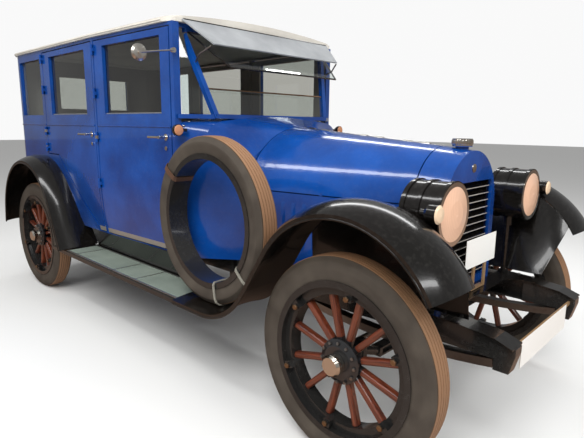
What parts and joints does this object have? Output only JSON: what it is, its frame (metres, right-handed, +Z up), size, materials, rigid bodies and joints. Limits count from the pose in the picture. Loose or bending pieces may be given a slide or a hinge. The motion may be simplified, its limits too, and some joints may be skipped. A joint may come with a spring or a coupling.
{
  "type": "vintage motor car",
  "caption": "Closed vintage touring car with a tall square cabin, wooden spoked wheels, separate fenders, drum headlamps, a hinged bonnet and a spare tyre on its side.",
  "frame": {"origin": "on the ground, midway between the axles, on the car's centre line", "axes": "+X forward, +Y to the car's left, +Z up"},
  "size_m": [4.2352, 1.785, 1.9549],
  "materials": {
    "body_paint": "gloss",
    "black_paint": "gloss",
    "frame_paint": "satin",
    "radiator_paint": "gloss",
    "roof_cloth": "matt",
    "visor_cloth": "matt",
    "glass": "clear",
    "lens": "frosted",
    "tyre": "matt",
    "rim": "satin",
    "spoke_wood": "varnished",
    "iron": "plain",
    "steel": "plain",
    "nickel": "polished",
    "hide": "satin",
    "seat_wood": "plain",
    "plate": "satin",
    "board": "satin",
    "wood_rim": "varnished"
  },
  "bodies": {
    "car": {"body_shell": "body_paint", "chassis_frame": "frame_paint", "cowl": "body_paint", "engine": "iron", "exhaust": "steel", "fixed_glass": "glass", "front_apron": "black_paint", "front_axle": "iron", "front_fenders": "black_paint", "fuel_tank": "black_paint", "headlamp_lenses": "lens", "headlamps": "black_paint", "leaf_springs": "steel", "mirror": "nickel", "number_plates": "plate", "radiator_shell": "radiator_paint", "radiator_shutters": "black_paint", "rear_axle": "iron", "rear_fenders": "black_paint", "roof": "roof_cloth", "running_boards": "board", "seat_base_front": "seat_wood", "seat_base_rear": "seat_wood", "seat_front": "hide", "seat_rear": "hide", "side_aprons": "black_paint", "side_lamps": "nickel", "spare_rim": "rim", "spare_tyre": "tyre", "steering_column": "black_paint", "sun_visor": "visor_cloth", "windscreen_frame": "body_paint"},
    "road_wheel_front_right": {"tyre_front_right": "tyre", "rim_front_right": "rim", "wheel_front_right": "spoke_wood"},
    "side_door_front_right": {"door_front_right": "body_paint", "door_glass_front_right": "glass"},
    "road_wheel_front_left": {"tyre_front_left": "tyre", "rim_front_left": "rim", "wheel_front_left": "spoke_wood"},
    "side_door_front_left": {"door_front_left": "body_paint", "door_glass_front_left": "glass"},
    "road_wheel_rear_right": {"tyre_rear_right": "tyre", "rim_rear_right": "rim", "wheel_rear_right": "spoke_wood"},
    "side_door_rear_right": {"door_rear_right": "body_paint", "door_glass_rear_right": "glass"},
    "road_wheel_rear_left": {"tyre_rear_left": "tyre", "rim_rear_left": "rim", "wheel_rear_left": "spoke_wood"},
    "side_door_rear_left": {"door_rear_left": "body_paint", "door_glass_rear_left": "glass"},
    "steering_knuckle_right": {"knuckle_right": "iron"},
    "bonnet_lid_right": {"bonnet_top_right": "body_paint"},
    "bonnet_flank_right": {"bonnet_side_right": "body_paint"},
    "steering_knuckle_left": {"knuckle_left": "iron"},
    "bonnet_lid_left": {"bonnet_top_left": "body_paint"},
    "bonnet_flank_left": {"bonnet_side_left": "body_paint"},
    "steering_tie": {"track_rod": "steel"},
    "hand_wheel": {"steering_wheel": "wood_rim"}
  },
  "joints": [
    {"name": "steer_right", "type": "hinge", "parent": "car", "child": "steering_knuckle_right", "pos_m": [1.594, -0.61, 0.432], "axis": [0, 0, 1], "range_deg": [-28, 28]},
    {"name": "spin_front_right", "type": "hinge", "parent": "steering_knuckle_right", "child": "road_wheel_front_right", "pos_m": [1.594, -0.7175, 0.432], "axis": [0, 1, 0], "continuous": true},
    {"name": "spin_rear_right", "type": "hinge", "parent": "car", "child": "road_wheel_rear_right", "pos_m": [-1.594, -0.7175, 0.432], "axis": [0, 1, 0], "continuous": true},
    {"name": "open_door_front_right", "type": "hinge", "parent": "car", "child": "side_door_front_right", "pos_m": [-0.51796, -0.71123, 1.2], "axis": [0, 0, -1], "range_deg": [0, 70]},
    {"name": "open_door_rear_right", "type": "hinge", "parent": "car", "child": "side_door_rear_right", "pos_m": [-1.3885, -0.712, 1.2], "axis": [0, 0, -1], "range_deg": [0, 70]},
    {"name": "lift_bonnet_right", "type": "hinge", "parent": "car", "child": "bonnet_lid_right", "pos_m": [0.66, 0, 1.341], "axis": [-0.9966, 0, 0.0827], "range_deg": [0, 60]},
    {"name": "fold_bonnet_right", "type": "hinge", "parent": "bonnet_lid_right", "child": "bonnet_flank_right", "pos_m": [0.66, -0.417, 1.01], "axis": [-0.9858, -0.1678, 0], "range_deg": [-60, 0]},
    {"name": "steer_left", "type": "hinge", "parent": "car", "child": "steering_knuckle_left", "pos_m": [1.594, 0.61, 0.432], "axis": [0, 0, 1], "range_deg": [-28, 28]},
    {"name": "spin_front_left", "type": "hinge", "parent": "steering_knuckle_left", "child": "road_wheel_front_left", "pos_m": [1.594, 0.7175, 0.432], "axis": [0, 1, 0], "continuous": true},
    {"name": "spin_rear_left", "type": "hinge", "parent": "car", "child": "road_wheel_rear_left", "pos_m": [-1.594, 0.7175, 0.432], "axis": [0, 1, 0], "continuous": true},
    {"name": "open_door_front_left", "type": "hinge", "parent": "car", "child": "side_door_front_left", "pos_m": [-0.51796, 0.71123, 1.2], "axis": [0, 0, 1], "range_deg": [0, 70]},
    {"name": "open_door_rear_left", "type": "hinge", "parent": "car", "child": "side_door_rear_left", "pos_m": [-1.3885, 0.712, 1.2], "axis": [0, 0, 1], "range_deg": [0, 70]},
    {"name": "lift_bonnet_left", "type": "hinge", "parent": "car", "child": "bonnet_lid_left", "pos_m": [0.66, 0, 1.341], "axis": [0.9966, 0, -0.0827], "range_deg": [0, 60]},
    {"name": "fold_bonnet_left", "type": "hinge", "parent": "bonnet_lid_left", "child": "bonnet_flank_left", "pos_m": [0.66, 0.417, 1.01], "axis": [0.9858, -0.1678, 0], "range_deg": [-60, 0]},
    {"name": "tie_pivot", "type": "hinge", "parent": "steering_knuckle_right", "child": "steering_tie", "pos_m": [1.434, -0.61, 0.366], "axis": [0, 0, 1], "range_deg": [-28, 28]},
    {"name": "turn_hand_wheel", "type": "hinge", "parent": "car", "child": "hand_wheel", "pos_m": [0.196, 0.33, 1.186], "axis": [-0.7888, 0, 0.6147], "range_deg": [-280, 280]}
  ],
  "couplings": [
    {"joint": "fold_bonnet_right", "follows": "lift_bonnet_right", "ratio": -1},
    {"joint": "fold_bonnet_left", "follows": "lift_bonnet_left", "ratio": -1},
    {"joint": "tie_pivot", "follows": "steer_right", "ratio": -1},
    {"joint": "steer_left", "follows": "steer_right", "ratio": 1},
    {"joint": "turn_hand_wheel", "follows": "steer_right", "ratio": 10}
  ]
}
